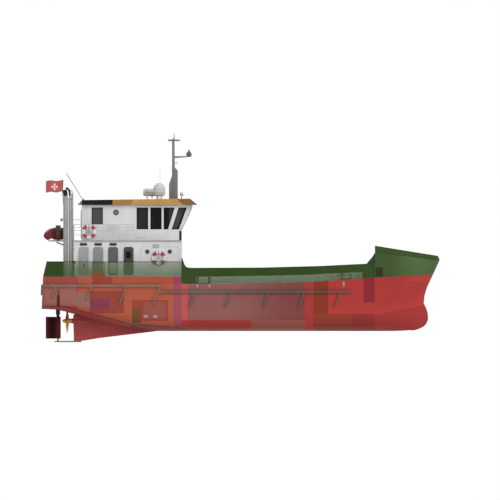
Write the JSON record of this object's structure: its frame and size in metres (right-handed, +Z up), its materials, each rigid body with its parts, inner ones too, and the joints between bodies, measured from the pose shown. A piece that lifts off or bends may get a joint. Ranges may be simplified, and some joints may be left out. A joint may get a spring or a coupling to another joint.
{
  "type": "aquaculture workboat",
  "caption": "Steel aquaculture workboat with a decked hull, aft deckhouse and wheelhouse, cargo hold with hinged lids, whaleback bow, stern rescue boat, rudder and propeller.",
  "frame": {"origin": "on the centreline in the plane of the water, abreast of the hull's half length", "axes": "+X to the bow, +Y to port, +Z up"},
  "size_m": [25.8111, 7.84, 13.49],
  "materials": {
    "hull_paint": "matt antifouling and hull paint in flat colour fields",
    "green_paint": "satin deck and bulwark paint",
    "white_paint": "satin enamel",
    "deck_paint": "rough non-slip paint",
    "door_paint": "satin enamel",
    "ochre_paint": "satin paint",
    "mast_paint": "satin paint",
    "engine_paint": "satin paint",
    "rudder_paint": "matt antifouling paint",
    "dark_steel": "satin black paint",
    "bright_steel": "galvanised",
    "bronze": "ground bronze",
    "fender_rubber": "matt",
    "rescue_tube": "coated fabric over air tubes, satin",
    "safety_orange": "matt moulded",
    "white_plastic": "glossy moulded",
    "flag_cloth": "woven polyester",
    "window_glass": "tinted toughened glass"
  },
  "bodies": {
    "hull": {"hull": "hull_paint", "skeg": "hull_paint", "main_engine": "engine_paint", "rudder_bearing": "dark_steel", "fender_starboard": "fender_rubber", "fender_port": "fender_rubber", "fender_stern": "fender_rubber", "bulwark_starboard": "green_paint", "bulwark_port": "green_paint", "bulwark_stern": "green_paint", "forecastle": "green_paint", "cargo_trunk": "green_paint", "vent_starboard": "green_paint", "vent_port": "green_paint", "deckhouse": "white_paint", "boat_deck": "deck_paint", "wheelhouse": "white_paint", "wheelhouse_roof": "ochre_paint", "glass_side_starboard": "window_glass", "glass_side_port": "window_glass", "glass_aft_starboard": "window_glass", "glass_aft_port": "window_glass", "glass_front": "window_glass", "guard_rail": "bright_steel", "winch_frame_starboard": "dark_steel", "bitts_aft_starboard": "dark_steel", "bitts_aft_port": "dark_steel", "bitts_mid_starboard": "dark_steel", "bitts_mid_port": "dark_steel", "deck_locker": "safety_orange", "exhaust_stack": "bright_steel", "ensign": "flag_cloth", "boat_cradle": "bright_steel", "rescue_boat": "rescue_tube", "outboard_engine": "dark_steel", "mast": "mast_paint", "masthead_lamp": "white_plastic", "satellite_dome": "white_plastic", "life_raft": "white_plastic", "whip_antenna_aft": "dark_steel", "compass_dome": "white_plastic", "lifebuoy_rail_starboard": "safety_orange", "lifebuoy_rail_port": "safety_orange", "lifebuoy_house_starboard": "safety_orange", "lifebuoy_house_port": "safety_orange"},
    "rudder": {"rudder": "rudder_paint"},
    "propeller": {"propeller": "bronze"},
    "door_wheelhouse": {"door_wheelhouse": "door_paint"},
    "hatch_lid_aft": {"hatch_lid_aft": "deck_paint"},
    "hatch_lid_forward": {"hatch_lid_forward": "deck_paint"},
    "winch_drum_starboard": {"winch_drum_starboard": "bright_steel"},
    "door_aft_starboard": {"door_aft_starboard": "door_paint"},
    "door_mid_aft_starboard": {"door_mid_aft_starboard": "door_paint"},
    "door_mid_forward_starboard": {"door_mid_forward_starboard": "door_paint"},
    "door_forward_starboard": {"door_forward_starboard": "door_paint"},
    "door_aft_port": {"door_aft_port": "door_paint"},
    "door_mid_aft_port": {"door_mid_aft_port": "door_paint"},
    "door_mid_forward_port": {"door_mid_forward_port": "door_paint"},
    "door_forward_port": {"door_forward_port": "door_paint"}
  },
  "joints": [
    {"name": "rudder_turn", "type": "hinge", "parent": "hull", "child": "rudder", "pos_m": [-12, 0, -1.74], "axis": [0, 0, 1], "range_deg": [-35, 35]},
    {"name": "propeller_spin", "type": "hinge", "parent": "hull", "child": "propeller", "pos_m": [-11.4, 0, -1.3], "axis": [1, 0, 0], "continuous": true},
    {"name": "wheelhouse_door_slide", "type": "slide", "parent": "hull", "child": "door_wheelhouse", "axis": [0, 1, 0], "range_m": [0, 0.62]},
    {"name": "hatch_lid_aft_hinge", "type": "hinge", "parent": "hull", "child": "hatch_lid_aft", "pos_m": [-2.82, 0, 1.6034], "axis": [0, -1, 0], "range_deg": [0, 95]},
    {"name": "hatch_lid_forward_hinge", "type": "hinge", "parent": "hull", "child": "hatch_lid_forward", "pos_m": [3.52, 0, 1.6968], "axis": [0, 1, 0], "range_deg": [0, 95]},
    {"name": "winch_drum_spin", "type": "hinge", "parent": "hull", "child": "winch_drum_starboard", "pos_m": [6.54, -2.82, 1.71], "axis": [1, 0, 0], "continuous": true},
    {"name": "door_aft_starboard_hinge", "type": "hinge", "parent": "hull", "child": "door_aft_starboard", "pos_m": [-10.01, -2.93, 2.58], "axis": [0, 0, 1], "range_deg": [0, 100]},
    {"name": "door_mid_aft_starboard_hinge", "type": "hinge", "parent": "hull", "child": "door_mid_aft_starboard", "pos_m": [-9.07, -2.93, 2.58], "axis": [0, 0, 1], "range_deg": [0, 100]},
    {"name": "door_mid_forward_starboard_hinge", "type": "hinge", "parent": "hull", "child": "door_mid_forward_starboard", "pos_m": [-8.1, -2.93, 2.58], "axis": [0, 0, 1], "range_deg": [0, 100]},
    {"name": "door_forward_starboard_hinge", "type": "hinge", "parent": "hull", "child": "door_forward_starboard", "pos_m": [-7.1, -2.93, 2.58], "axis": [0, 0, 1], "range_deg": [0, 100]},
    {"name": "door_aft_port_hinge", "type": "hinge", "parent": "hull", "child": "door_aft_port", "pos_m": [-10.01, 2.93, 2.58], "axis": [0, 0, -1], "range_deg": [0, 100]},
    {"name": "door_mid_aft_port_hinge", "type": "hinge", "parent": "hull", "child": "door_mid_aft_port", "pos_m": [-9.07, 2.93, 2.58], "axis": [0, 0, -1], "range_deg": [0, 100]},
    {"name": "door_mid_forward_port_hinge", "type": "hinge", "parent": "hull", "child": "door_mid_forward_port", "pos_m": [-8.1, 2.93, 2.58], "axis": [0, 0, -1], "range_deg": [0, 100]},
    {"name": "door_forward_port_hinge", "type": "hinge", "parent": "hull", "child": "door_forward_port", "pos_m": [-7.1, 2.93, 2.58], "axis": [0, 0, -1], "range_deg": [0, 100]}
  ]
}
